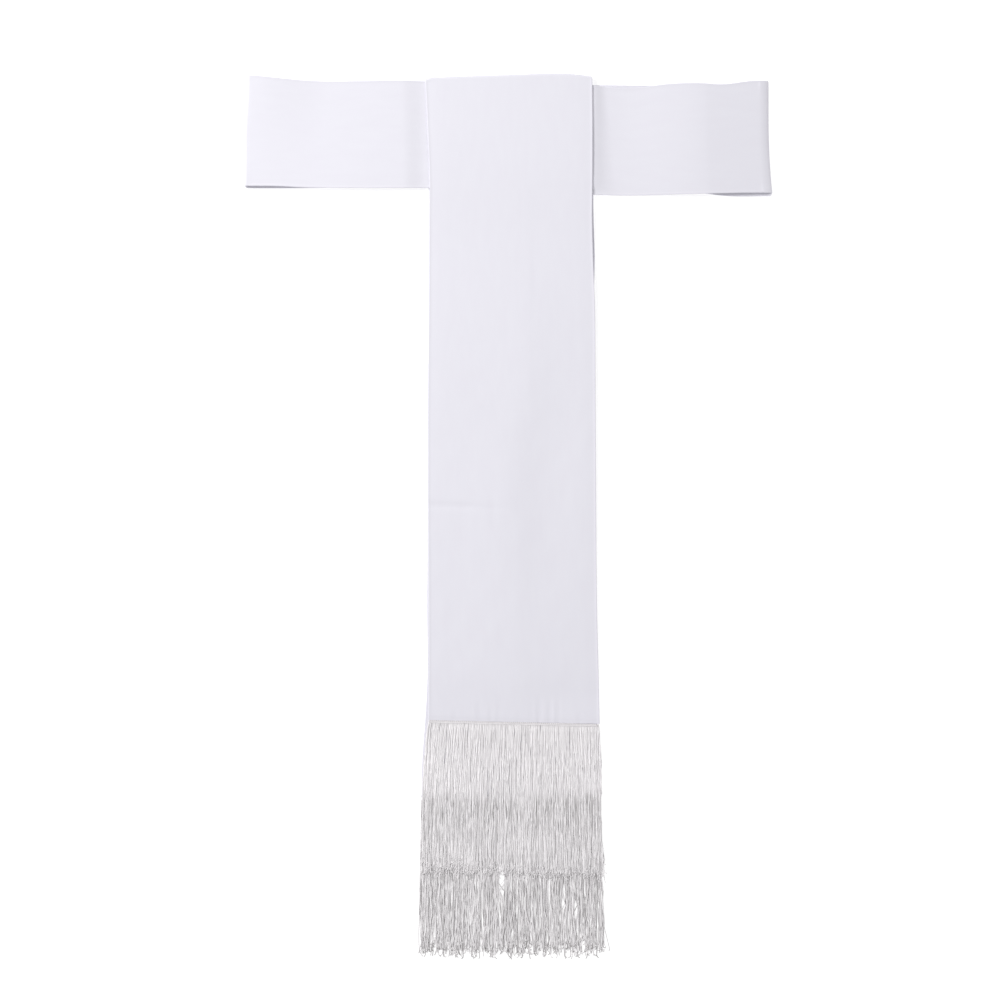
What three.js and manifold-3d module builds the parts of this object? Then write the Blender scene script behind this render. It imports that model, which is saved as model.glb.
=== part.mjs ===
// A band cincture for a cassock, laid flat on a table: a waist band wound into a flattened loop, a strip of cloth
// hung over it as two falls, and a fringe in the hem of each fall.
// Millimetres. X runs along the band, Y up the falls and Z up from the table. The origin is on the table, in the
// middle of the whole. The tables below measure Y from the middle of the band, which lies bandY above the origin.
import * as THREE from 'three';
import Module from 'manifold-3d';

const { lerp, smoothstep, degToRad, clamp } = THREE.MathUtils;
const { sin, cos, exp, PI } = Math;

// Cloth, two plies with interlining in each strip
const bandWall = 1.3;
const fallWall = 1.1;
const seamGap = 0.3;
const edgeRound = 0.35;

// Heights of the middle of each layer, worked out from the walls stacked on each other
const bandBackZ = bandWall / 2;
const fallUnderZ = bandWall + seamGap + fallWall / 2;
const bandInnerZ = fallUnderZ + fallWall / 2 + seamGap + bandWall / 2;
const bandOuterZ = bandInnerZ + bandWall + seamGap;
const fallOverZ = bandOuterZ + bandWall / 2 + seamGap + fallWall / 2;
const fallBackZ = fallWall / 2;
const fallFrontZ = fallBackZ + fallWall + seamGap;

// Waist band: a 4 in strip, its loop pressed flat but for a soft roll at each end. The left half of the loop stays
// a little open, and the right half lies down beside the falls.
const bandY = 361.35;
const bandWidth = 101.6;
const plateauZ = { left: 6.9, right: bandBackZ + bandWall + seamGap };
const rollRadius = { left: { bottom: 3.3, top: 5.2 }, right: { bottom: 2.8, top: 4.2 } };
const rollLift = { left: 70, right: 36 };
const outerEndX = 54;
const innerEndX = -58;
const backMiddle = [
  { x: -250, y: -0.9 },
  { x: 250, y: -6.8 },
];
// Edges of the band's front layer, left of the falls and right of them
const frontLeftEdges = [
  { x: -250, top: 53.5, bottom: -50.7 },
  { x: -212, top: 51.6, bottom: -50.7 },
  { x: -193, top: 49.9, bottom: -50.7 },
  { x: -178, top: 49.1, bottom: -50.7 },
  { x: -137, top: 49.1, bottom: -50.2 },
  { x: -103, top: 50.1, bottom: -51.2 },
  { x: -79, top: 49.3, bottom: -51 },
  { x: 60, top: 48.6, bottom: -51.4 },
];
const frontRightEdges = [
  { x: -60, top: 47.2, bottom: -54.4 },
  { x: 84, top: 46.4, bottom: -55.9 },
  { x: 106, top: 44.4, bottom: -57.1 },
  { x: 125, top: 44.4, bottom: -57.1 },
  { x: 146, top: 45.8, bottom: -56.7 },
  { x: 182, top: 47.7, bottom: -55.7 },
  { x: 201, top: 46, bottom: -55.7 },
  { x: 231, top: 49.1, bottom: -55.6 },
  { x: 250, top: 49.4, bottom: -55.6 },
];
// How far out each roll reaches, with v from 0 at the band's bottom edge to 1 at its top edge
const loopEnds = [
  { v: 0, left: -250, right: 250 },
  { v: 0.17, left: -249.4, right: 248 },
  { v: 0.5, left: -248.2, right: 246.4 },
  { v: 1, left: -245.5, right: 246.1 },
];
// Ramps of the front layer onto the stack under the falls, slanting from the bottom edge to the top one
const ramp = {
  left: { foot: { bottom: -104, top: -108 }, crest: { bottom: -80, top: -81 } },
  right: { foot: { bottom: 97, top: 94 }, crest: { bottom: 86.5, top: 82 } },
};

// Falls: one strip, its sides along Y on the front fall and on the back one
const frontSides = [
  { y: 55, left: -78.8, right: 79.3 },
  { y: 4, left: -76.4, right: 80 },
  { y: -51, left: -74.1, right: 81.2 },
  { y: -110, left: -74.6, right: 81.2 },
  { y: -252, left: -76.1, right: 82.3 },
  { y: -441, left: -76.1, right: 83.3 },
  { y: -557, left: -76.1, right: 86.1 },
];
const backSides = [
  { y: 55, left: -79, right: 79.5 },
  { y: -52, left: -77.1, right: 84.3 },
  { y: -157, left: -76.2, right: 85.2 },
  { y: -252, left: -76.7, right: 83.8 },
  { y: -441, left: -78.1, right: 83.8 },
  { y: -536, left: -78.6, right: 84.3 },
  { y: -628, left: -79, right: 85.7 },
];
// The line along which the strip folds over the band's top edge, and the two hems
const foldLine = [
  { x: -79, y: 49.6 },
  { x: -74, y: 51 },
  { x: -63, y: 51.5 },
  { x: -8, y: 53.4 },
  { x: 17, y: 54.3 },
  { x: 62, y: 54.3 },
  { x: 79, y: 52.2 },
];
const frontHem = { left: -555.2, right: -559 };
const backHem = { left: -629, right: -627.5 };
// How high the front fall lies, from 0 on the back fall to 1 on the stack over the band
const frontLift = [
  { y: 55, share: 1 },
  { y: -54, share: 1 },
  { y: -75, share: 0.86 },
  { y: -105, share: 0.68 },
  { y: -160, share: 0.58 },
  { y: -300, share: 0.34 },
  { y: -450, share: 0.1 },
  { y: -520, share: 0 },
];
const backRamp = { low: -82, high: -62 };
// A pressed crease down the front fall: the cloth left of it stands higher, and right of it sinks away. Its X at
// the top and low down, the Y between which it wanders, and the Y between which it comes in.
const crease = { height: 1.2, fade: 24, topX: 21.5, lowX: 11, from: -200, to: -380, startY: -20, fullY: -90 };
const creaseEdgeShare = 0.35;

// Fringe: 6 in long with its header, of which only a narrow line shows below the hem
const headerShown = 3;
const headerThick = 1;
const headerInset = 0.5;
const strandsEach = 104;
const strandSides = 3;
const strandRadius = 0.46;
const strandTaper = 0.7;
const strandAt = [0, 0.035, 0.12, 0.4, 0.7, 1];
const strandLayers = 3;
const layerStep = 0.22;
const tipScatter = 5;

// Value of a column of a table at a place between its rows
function rowValue(table, key, at, column) {
  const rows = [...table].sort((a, b) => a[key] - b[key]);
  const next = clamp(rows.filter((row) => row[key] < at).length, 1, rows.length - 1);
  const [a, b] = [rows[next - 1], rows[next]];
  return lerp(a[column], b[column], clamp((at - a[key]) / (b[key] - a[key]), 0, 1));
}

// Values from a to b in even steps, without the last one
const steps = (a, b, count) => Array.from({ length: count }, (_, i) => lerp(a, b, i / count));

// From 0 to 1, the same number each time for the same strand
function scatter(index, salt) {
  const value = sin(index * 12.9898 + salt * 78.233) * 43758.5453;
  return value - Math.floor(value);
}

function geometryFrom(points, index) {
  const geometry = new THREE.BufferGeometry();
  geometry.setAttribute('position', new THREE.Float32BufferAttribute(points.flatMap((p) => [p.x, p.y, p.z]), 3));
  geometry.setIndex(index);
  geometry.computeVertexNormals();
  return geometry;
}

// Joins closed rings of points, all of one size, by quads
function joinRings(rings) {
  const size = rings[0].length;
  const index = [];
  for (let r = 0; r < rings.length - 1; r++) {
    for (let i = 0; i < size; i++) {
      const j = (i + 1) % size;
      const [a, b, c, d] = [r * size + i, r * size + j, (r + 1) * size + j, (r + 1) * size + i];
      index.push(a, b, c, a, c, d);
    }
  }
  return index;
}

// Closes both ends of joined rings. Each face is a list of places in a ring, in the ring's own order.
function capEnds(rings, faces) {
  const size = rings[0].length;
  const last = (rings.length - 1) * size;
  return faces.flatMap((face) => {
    const index = [];
    for (let k = 2; k < face.length; k++) {
      index.push(face[0], face[k], face[k - 1]);
      index.push(last + face[0], last + face[k - 1], last + face[k]);
    }
    return index;
  });
}

// A strip of cloth with a wall and softly pointed side edges. middle(v, s) is a point of its middle surface, with v
// from 0 to 1 across the strip at station s, and outward(v, s) is the direction of its outer face there.
function clothStrip({ stations, columns, wall, middle, outward }) {
  const across = Array.from({ length: columns + 1 }, (_, i) => i / columns);
  const rings = stations.map((s) => {
    const face = (side) => across.map((v) => middle(v, s).addScaledVector(outward(v, s), (side * wall) / 2));
    const edge = (v, inner) => {
      const rim = middle(v, s);
      return rim.clone().sub(middle(inner, s)).setLength(edgeRound).add(rim);
    };
    return [...face(1), edge(1, across.at(-2)), ...face(-1).reverse(), edge(0, across[1])];
  });
  const size = rings[0].length;
  const bays = across.slice(1).map((_, i) => [i, i + 1, size - 3 - i, size - 2 - i]);
  const ends = [[columns, columns + 1, columns + 2], [0, size - 2, size - 1]];
  return geometryFrom(rings.flat(), [...joinRings(rings), ...capEnds(rings, [...bays, ...ends])]);
}

// Direction square to a path: the way along it, turned a quarter about the axis given
function squareTo(path, axis) {
  const step = 0.002;
  return (v, s) => {
    const ahead = path(v, { ...s, t: s.t + step });
    return ahead.sub(path(v, { ...s, t: s.t - step })).cross(axis).normalize();
  };
}

// The waist band's strip starts at its outer end under the front fall and runs left. It rolls under, runs right
// along the table, rolls back over and ends on the back fall, under its own outer end.
function waistBand() {
  const slant = (line, v) => lerp(line.bottom, line.top, v);
  const rollX = {
    left: (v) => rowValue(loopEnds, 'v', v, 'left') + bandWall / 2 + slant(rollRadius.left, v),
    right: (v) => rowValue(loopEnds, 'v', v, 'right') - bandWall / 2 - slant(rollRadius.right, v),
  };
  const edgeY = (table) => (x, v) => lerp(rowValue(table, 'x', x, 'bottom'), rowValue(table, 'x', x, 'top'), v);
  const leftY = edgeY(frontLeftEdges);
  const rightY = edgeY(frontRightEdges);
  const backY = (x, v) => rowValue(backMiddle, 'x', x, 'y') + (v - 0.5) * bandWidth;

  // Height of the front layer: from the plateau over a ramp to the stack, and up or down into the roll
  const frontZ = (side, v, x, stackZ) => {
    const { foot, crest } = ramp[side];
    const outward = side === 'left' ? -1 : 1;
    const climb = smoothstep(-outward * x, -outward * slant(foot, v), -outward * slant(crest, v));
    const rise = smoothstep(outward * (x - rollX[side](v)), -rollLift[side], 0);
    const rollTopZ = bandBackZ + 2 * slant(rollRadius[side], v);
    const plateau = plateauZ[side];
    return plateau + (stackZ - plateau) * climb + (rollTopZ - plateau) * rise;
  };
  const frontLeft = (v, t) => {
    const x = lerp(outerEndX, rollX.left(v), t);
    return new THREE.Vector3(x, leftY(x, v), frontZ('left', v, x, bandOuterZ));
  };
  const frontRight = (v, t) => {
    const x = lerp(rollX.right(v), innerEndX, t);
    return new THREE.Vector3(x, rightY(x, v), frontZ('right', v, x, bandInnerZ));
  };
  const roll = (side, frontY) => (v, t) => {
    const outward = side === 'left' ? -1 : 1;
    const axisX = rollX[side](v);
    const radius = slant(rollRadius[side], v);
    const x = axisX + outward * radius * sin(PI * t);
    const z = bandBackZ + radius * (1 - outward * cos(PI * t));
    const under = smoothstep(outward < 0 ? t : 1 - t, 0, 1);
    return new THREE.Vector3(x, lerp(frontY(axisX, v), backY(axisX, v), under), z);
  };
  const back = (v, t) => {
    const x = lerp(rollX.left(v), rollX.right(v), t);
    return new THREE.Vector3(x, backY(x, v), bandBackZ);
  };
  const parts = [frontLeft, roll('left', leftY), back, roll('right', rightY), frontRight];
  const path = (v, s) => parts[s.part](v, s.t);

  // Stations close together on the ramps and rises, and further apart on the flat runs
  const leftRun = outerEndX - rollX.left(0.5);
  const rightRun = rollX.right(0.5) - innerEndX;
  const leftRampT = [(outerEndX - ramp.left.crest.bottom) / leftRun, (outerEndX - ramp.left.foot.top) / leftRun];
  const rightRampT = [ramp.right.foot.bottom, ramp.right.crest.top].map((x) => (rollX.right(0.5) - x) / rightRun);
  const leftRiseT = 1 - rollLift.left / leftRun;
  const rightRiseT = rollLift.right / rightRun;
  const stations = [
    [0, [...steps(0, leftRampT[0], 4), ...steps(...leftRampT, 6), ...steps(leftRampT[1], leftRiseT, 3)]],
    [0, steps(leftRiseT, 1, 8)],
    [1, steps(0, 1, 9)],
    [2, steps(0, 1, 10)],
    [3, steps(0, 1, 9)],
    [4, [...steps(0, rightRiseT, 7), ...steps(rightRiseT, rightRampT[0], 5), ...steps(...rightRampT, 6)]],
    [4, [...steps(rightRampT[1], 1, 4), 1]],
  ].flatMap(([part, list]) => list.map((t) => ({ part, t })));
  return clothStrip({
    stations,
    columns: 6,
    wall: bandWall,
    middle: path,
    outward: squareTo(path, new THREE.Vector3(0, -1, 0)),
  });
}

// The falls' strip starts at the front hem, runs up over the band, folds over its top edge and runs down under the
// band's front layer to the back hem.
function falls() {
  const hemY = (hem, v) => lerp(hem.left, hem.right, v);
  const sideX = (table) => (y, v) => lerp(rowValue(table, 'y', y, 'left'), rowValue(table, 'y', y, 'right'), v);
  const frontX = sideX(frontSides);
  const backX = sideX(backSides);
  const foldRadius = (fallOverZ - fallUnderZ) / 2;
  const foldY = (v) => rowValue(foldLine, 'x', lerp(foldLine[0].x, foldLine.at(-1).x, v), 'y');

  const creaseLift = (v, y) => {
    const x = frontX(y, v);
    const creaseX = lerp(crease.lowX, crease.topX, smoothstep(y, crease.to, crease.from));
    const leftReach = (creaseX - x) / (creaseX - frontX(y, 0));
    const share = x < creaseX ? lerp(1, creaseEdgeShare, leftReach ** 2) : exp((creaseX - x) / crease.fade);
    return crease.height * share * (1 - smoothstep(y, crease.fullY, crease.startY));
  };
  const front = (v, t) => {
    const y = lerp(hemY(frontHem, v), foldY(v), t);
    const z = lerp(fallFrontZ, fallOverZ, rowValue(frontLift, 'y', y, 'share'));
    return new THREE.Vector3(frontX(y, v), y, z + creaseLift(v, y));
  };
  const fold = (v, t) => {
    const x = lerp(frontX(foldY(v), v), backX(foldY(v), v), t);
    const y = foldY(v) + foldRadius * sin(PI * t);
    return new THREE.Vector3(x, y, fallOverZ - foldRadius * (1 - cos(PI * t)));
  };
  const back = (v, t) => {
    const y = lerp(foldY(v), hemY(backHem, v), t);
    const z = lerp(fallBackZ, fallUnderZ, smoothstep(y, backRamp.low, backRamp.high));
    return new THREE.Vector3(backX(y, v), y, z);
  };
  const parts = [front, fold, back];
  const path = (v, s) => parts[s.part](v, s.t);

  const frontT = (y) => (y - frontHem.right) / (foldY(0.5) - frontHem.right);
  const backT = (y) => (foldY(0.5) - y) / (foldY(0.5) - backHem.right);
  const nearRamp = [backT(backRamp.high + 4), backT(backRamp.low - 4)];
  const stations = [
    [0, [...steps(0, frontT(-160), 11), ...steps(frontT(-160), frontT(-50), 8), ...steps(frontT(-50), 1, 3)]],
    [1, steps(0, 1, 8)],
    [2, [...steps(0, nearRamp[0], 3), ...steps(...nearRamp, 6), ...steps(nearRamp[1], 1, 8), 1]],
  ].flatMap(([part, list]) => list.map((t) => ({ part, t })));
  return clothStrip({
    stations,
    columns: 12,
    wall: fallWall,
    middle: path,
    outward: squareTo(path, new THREE.Vector3(-1, 0, 0)),
  });
}

// The woven header of a fringe, a flat bar along the hem
function header(hem, z) {
  const rings = [hem.left, hem.right].map((end) => {
    const top = end.y - seamGap;
    const corners = [[top, -1], [top, 1], [top - headerShown, 1], [top - headerShown, -1]];
    return corners.map(([y, side]) => new THREE.Vector3(end.x, y, z + (side * headerThick) / 2));
  });
  return geometryFrom(rings.flat(), [...joinRings(rings), ...capEnds(rings, [[0, 1, 2, 3]])]);
}

// One strand: small rings across a path that runs down from the header, thinner at the tip
function strand(path) {
  const rings = path.map((point, i) => {
    const radius = strandRadius * lerp(1, strandTaper, i / (path.length - 1));
    return Array.from({ length: strandSides }, (_, k) => {
      const angle = degToRad(90 + (360 * k) / strandSides);
      return new THREE.Vector3(radius * cos(angle), 0, radius * sin(angle)).add(point);
    });
  });
  const ring = rings[0].map((_, k) => k);
  return geometryFrom(rings.flat(), [...joinRings(rings), ...capEnds(rings, [ring])]);
}

const wasm = await Module();
wasm.setup();

function solidFrom(geometry) {
  const vertProperties = new Float32Array(geometry.attributes.position.array);
  const triVerts = new Uint32Array(geometry.index.array);
  return new wasm.Manifold(new wasm.Mesh({ numProp: 3, vertProperties, triVerts }));
}

function geometryOf(solid) {
  const { vertProperties, triVerts } = solid.getMesh();
  const geometry = new THREE.BufferGeometry();
  geometry.setAttribute('position', new THREE.BufferAttribute(vertProperties, 3));
  geometry.setIndex(new THREE.BufferAttribute(triVerts, 1));
  geometry.computeVertexNormals();
  return geometry;
}

// A fringe: strands in a row, fused into the header. They spread towards the tips, gather in soft bunches and end
// unevenly, and they stay clear of each other.
function fringe({ hem, headerZ, lieZ, tips, bunches, salt }) {
  const solids = [solidFrom(header(hem, headerZ))];
  for (let i = 0; i < strandsEach; i++) {
    const v = i / (strandsEach - 1);
    const rootX = lerp(hem.left.x + 2 * headerInset, hem.right.x - 2 * headerInset, v);
    const rootY = lerp(hem.left.y, hem.right.y, v) - seamGap - headerShown / 2;
    const tipX = lerp(tips.left.x, tips.right.x, v);
    const tipY = lerp(tips.left.y, tips.right.y, v) + tipScatter * (2 * scatter(i, salt) - 1);
    const layerZ = lieZ + (i % strandLayers) * layerStep;
    const gather = bunches.reduce((sum, b) => sum + b.size * sin(2 * PI * v * b.count + b.phase), 0);
    const path = strandAt.map((t) => {
      const x = lerp(rootX, tipX, sin((t * PI) / 2)) + gather * t;
      return new THREE.Vector3(x, lerp(rootY, tipY, t), lerp(headerZ, layerZ, smoothstep(t, 0, 0.12)));
    });
    solids.push(solidFrom(strand(path)));
  }
  return geometryOf(wasm.Manifold.union(solids));
}

const hemEnds = (hem, sides) => ({
  left: { x: rowValue(sides, 'y', hem.left, 'left') + headerInset, y: hem.left },
  right: { x: rowValue(sides, 'y', hem.right, 'right') - headerInset, y: hem.right },
});

const clothLook = { color: 0xebe9f2, roughness: 0.62, metalness: 0 };
const yarnLook = { color: 0xdedbdd, roughness: 0.45, metalness: 0 };
const cincture = new THREE.Group();

function place(name, geometry, look) {
  const mesh = new THREE.Mesh(geometry, new THREE.MeshStandardMaterial(look));
  mesh.name = name;
  mesh.position.y = bandY;
  cincture.add(mesh);
}

place('waist_band', waistBand(), clothLook);
place('falls', falls(), clothLook);
place('fringe_front', fringe({
  hem: hemEnds(frontHem, frontSides),
  headerZ: fallFrontZ,
  lieZ: fallWall + 2 * seamGap + strandRadius,
  tips: { left: { x: -83.7, y: -696 }, right: { x: 91.8, y: -700 } },
  bunches: [{ size: 0.5, count: 5, phase: 0.4 }, { size: 0.18, count: 13, phase: 2.1 }],
  salt: 1,
}), yarnLook);
place('fringe_back', fringe({
  hem: hemEnds(backHem, backSides),
  headerZ: fallBackZ,
  lieZ: seamGap + strandRadius,
  tips: { left: { x: -83.8, y: -775 }, right: { x: 90, y: -775 } },
  bunches: [{ size: 0.7, count: 4, phase: 1.9 }, { size: 0.25, count: 11, phase: 0.7 }],
  salt: 2,
}), yarnLook);

export default cincture;
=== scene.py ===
import bpy
import numpy as np
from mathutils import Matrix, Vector


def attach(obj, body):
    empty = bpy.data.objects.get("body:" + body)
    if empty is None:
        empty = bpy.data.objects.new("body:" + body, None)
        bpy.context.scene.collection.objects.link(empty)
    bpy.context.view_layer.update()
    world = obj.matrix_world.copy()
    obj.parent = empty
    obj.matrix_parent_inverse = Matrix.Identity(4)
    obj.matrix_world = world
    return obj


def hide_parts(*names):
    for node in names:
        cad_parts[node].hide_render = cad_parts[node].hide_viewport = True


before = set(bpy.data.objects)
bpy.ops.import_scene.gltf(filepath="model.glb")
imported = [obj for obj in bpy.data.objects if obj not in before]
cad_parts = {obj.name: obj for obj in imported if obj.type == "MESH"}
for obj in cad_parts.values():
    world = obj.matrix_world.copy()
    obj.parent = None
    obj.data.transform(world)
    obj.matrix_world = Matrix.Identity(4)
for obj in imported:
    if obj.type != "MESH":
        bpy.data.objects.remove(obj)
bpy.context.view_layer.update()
print("frame loaded")

bandY = 361.35  # the waist band's middle line, up from the origin
metres = 0.001


# Hex colour in sRGB, turned to linear with full alpha. A part c becomes c / 12.92 where it is small, and
# ((c + 0.055) / 1.055) to the power 2.4 elsewhere.
def colour(hexValue):
    parts = np.array([int(hexValue[i:i + 2], 16) for i in (1, 3, 5)]) / 255
    linear = np.where(parts <= 0.04045, parts / 12.92, ((parts + 0.055) / 1.055) ** 2.4)
    return (*linear.tolist(), 1.0)


# Mix of a and b, t from 0 to 1: a + (b - a) t
def mix(a, b, t):
    return a + (b - a) * t


# Soft step from 0 at a to 1 at b, 3tt - 2ttt. With a above b it steps down instead.
def softStep(x, a, b):
    t = np.clip((x - a) / (b - a), 0, 1)
    return t * t * (3 - 2 * t)


# Bell round a place: e to the minus (distance / width) squared
def bell(x, place, width):
    return np.exp(-(((x - place) / width) ** 2))


# A table's column as a smooth curve: cubic pieces between the rows, with slopes from the chords there
def curveAt(rows, key, column, at):
    rows = sorted(rows, key=lambda row: row[key])
    x = np.array([row[key] for row in rows], float)
    y = np.array([row[column] for row in rows], float)
    slope = np.gradient(y, x)
    at = np.clip(at, x[0], x[-1])
    i = np.clip(np.searchsorted(x, at) - 1, 0, len(x) - 2)
    step = x[i + 1] - x[i]
    t = (at - x[i]) / step
    fromLeft = (2 * t**3 - 3 * t**2 + 1) * y[i] + (t**3 - 2 * t**2 + t) * step * slope[i]
    return fromLeft + (3 * t**2 - 2 * t**3) * y[i + 1] + (t**3 - t**2) * step * slope[i + 1]


# Gentle unevenness from about -1 to 1: the sum of count sine waves over 1.5 times the root of count. Each
# has a direction of its own and is 0.7 to 1.5 times the given length.
def softWaves(x, y, length, seed, count=7):
    chance = np.random.default_rng(seed)
    total = 0
    for _ in range(count):
        turn, phase = chance.uniform(0, 2 * np.pi, 2)
        size = length * chance.uniform(0.7, 1.5)
        total = total + np.sin(2 * np.pi * (x * np.cos(turn) + y * np.sin(turn)) / size + phase)
    return total / (1.5 * count**0.5)


# A smooth mesh object from points and faces, with one material and maybe a UV place for each point. Points
# move by bandY in Y and become metres.
def addPiece(name, points, faces, material, places=None):
    mesh = bpy.data.meshes.new(name)
    moved = (np.asarray(points).reshape(-1, 3) + [0, bandY, 0]) * metres
    mesh.from_pydata(moved.tolist(), [], faces)
    mesh.polygons.foreach_set("use_smooth", np.ones(len(mesh.polygons), bool))
    if places is not None:
        corners = np.empty(len(mesh.loops), int)
        mesh.loops.foreach_get("vertex_index", corners)
        layer = mesh.uv_layers.new(name="surfacePlace")
        layer.uv.foreach_set("vector", (places[corners] * metres).astype(np.float32).ravel())
    mesh.materials.append(material)
    piece = bpy.data.objects.new(name, mesh)
    bpy.context.collection.objects.link(piece)
    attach(piece, "root")
    return piece


# Adds a node, gives it settings, and sets its inputs to values or joins them to other nodes' outputs
def addNode(tree, kind, inputs=None, **settings):
    node = tree.nodes.new(kind)
    for key, value in settings.items():
        setattr(node, key, value)
    for key, value in (inputs or {}).items():
        if isinstance(value, bpy.types.NodeSocket):
            tree.links.new(value, node.inputs[key])
        else:
            node.inputs[key].default_value = value
    return node


# A new material with its surface shader, and the node tree that holds it
def startMaterial(name, shaderValues):
    material = bpy.data.materials.new(name)
    material.use_nodes = True
    tree = material.node_tree
    shader = tree.nodes["Principled BSDF"]
    for key, value in shaderValues.items():
        shader.inputs[key].default_value = value
    return material, tree, shader


# Camera: straight down, on the photo's centre

camera = {"x": -7.82, "y": -346.5, "height": 1900, "lens": 72, "sensor": 36}
cameraData = bpy.data.cameras.new("camera")
cameraData.lens = camera["lens"]
cameraData.sensor_width = camera["sensor"]
cameraObject = bpy.data.objects.new("camera", cameraData)
cameraObject.location = np.array([camera["x"], camera["y"] + bandY, camera["height"]]) * metres
bpy.context.collection.objects.link(cameraObject)
bpy.context.scene.camera = cameraObject

# Cloth

clothLook = {
    "light": "#ecebf3",
    "dark": "#e9e7f0",
    "surface": {"Roughness": 0.6, "Specular IOR Level": 0.3, "Sheen Weight": 0.15, "Sheen Roughness": 0.5},
    "ribPitch": 1.0,  # twill ribs, drawn wider than the real 0.35 mm so that a close view shows them
    "ribTurn": 27,  # degrees
    "ribDepth": 0.03,
    "ribWander": 0.6,
    "slub": 7.0,  # width of the slight unevenness of the threads
    "slubStretch": 4,  # how many times as long as wide it is
}


# Polyester gabardine, a fine steep twill pressed smooth: matt, cool white, a faint bloom at grazing
# angles. A wave texture has a rib in every 2 pi / 20 of its place, so its scale is that over the pitch.
def gabardine(name, look):
    material, tree, shader = startMaterial(name, look["surface"])
    place = addNode(tree, "ShaderNodeUVMap", uv_map="surfacePlace").outputs["UV"]
    ribTurn = (0, 0, np.radians(look["ribTurn"]))
    turned = addNode(tree, "ShaderNodeMapping", {"Vector": place, "Rotation": ribTurn})
    ribScale = 2 * np.pi / 20 / (look["ribPitch"] * metres)
    ribForm = {"Scale": ribScale, "Distortion": look["ribWander"], "Detail": 1.0}
    ribs = addNode(
        tree,
        "ShaderNodeTexWave",
        {"Vector": turned.outputs["Vector"], **ribForm},
        wave_type="BANDS",
        bands_direction="X",
    )
    slubForm = {"Vector": place, "Scale": (1, 1 / look["slubStretch"], 1)}
    stretched = addNode(tree, "ShaderNodeMapping", slubForm)
    slubs = addNode(
        tree,
        "ShaderNodeTexNoise",
        {"Vector": stretched.outputs["Vector"], "Scale": 1 / (look["slub"] * metres), "Detail": 3.0},
    )
    shade = addNode(
        tree,
        "ShaderNodeMix",
        {"Factor": slubs.outputs["Fac"], "A": colour(look["dark"]), "B": colour(look["light"])},
        data_type="RGBA",
    )
    bump = addNode(
        tree,
        "ShaderNodeBump",
        {"Height": ribs.outputs["Fac"], "Distance": look["ribDepth"] * metres, "Strength": 0.6},
    )
    tree.links.new(shade.outputs["Result"], shader.inputs["Base Color"])
    tree.links.new(bump.outputs["Normal"], shader.inputs["Normal"])
    return material


bandCloth = gabardine("white gabardine band", clothLook)
fallsCloth = gabardine("white gabardine falls", clothLook)

# Walls of the two cloths and the gap between layers, and from them the heights of the layers' middles

walls = {"band": 1.3, "falls": 1.1, "gap": 0.3}
bandBackZ = walls["band"] / 2
bandRestZ = bandBackZ + walls["band"] + walls["gap"]
fallUnderZ = walls["band"] + walls["gap"] + walls["falls"] / 2
bandInnerZ = fallUnderZ + walls["falls"] / 2 + walls["gap"] + walls["band"] / 2
bandOuterZ = bandInnerZ + walls["band"] + walls["gap"]
fallOverZ = bandOuterZ + walls["band"] / 2 + walls["gap"] + walls["falls"] / 2
fallBackZ = walls["falls"] / 2
fallFrontZ = fallBackZ + walls["falls"] + walls["gap"]

# Each side edge is turned over and pressed: a fine dent runs beside it, and the allowance inside ends in
# a slight step. Pairs are distances in from the edge, between which a form comes in or goes out.
turnedEdge = {
    "round": 0.7,
    "endRound": 0.35,
    "endCut": 0.12,  # how much of its rounding the strip's end lacks
    "allowance": (10, 8.5),
    "rise": 0.12,
    "riseFrom": (0.3, 2.5),
    "dent": 0.33,
    "dentFrom": (0.4, 2.5),
    "dentTo": (14, 2.5),
}


# Places across a strip from 0 to 1: the distances listed here, in from both side edges, where the cloth
# turns over, and even ones between them
def acrossPlaces(width, count):
    edgeDistances = [0, 0.06, 0.2, 0.45, 0.8, 1.2, 1.6, 2.0, 2.5, 3.1, 4.2]
    near = np.array(edgeDistances) / width
    return np.concatenate([near, np.linspace(near[-1], 1 - near[-1], count)[1:-1], 1 - near[::-1]])


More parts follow.
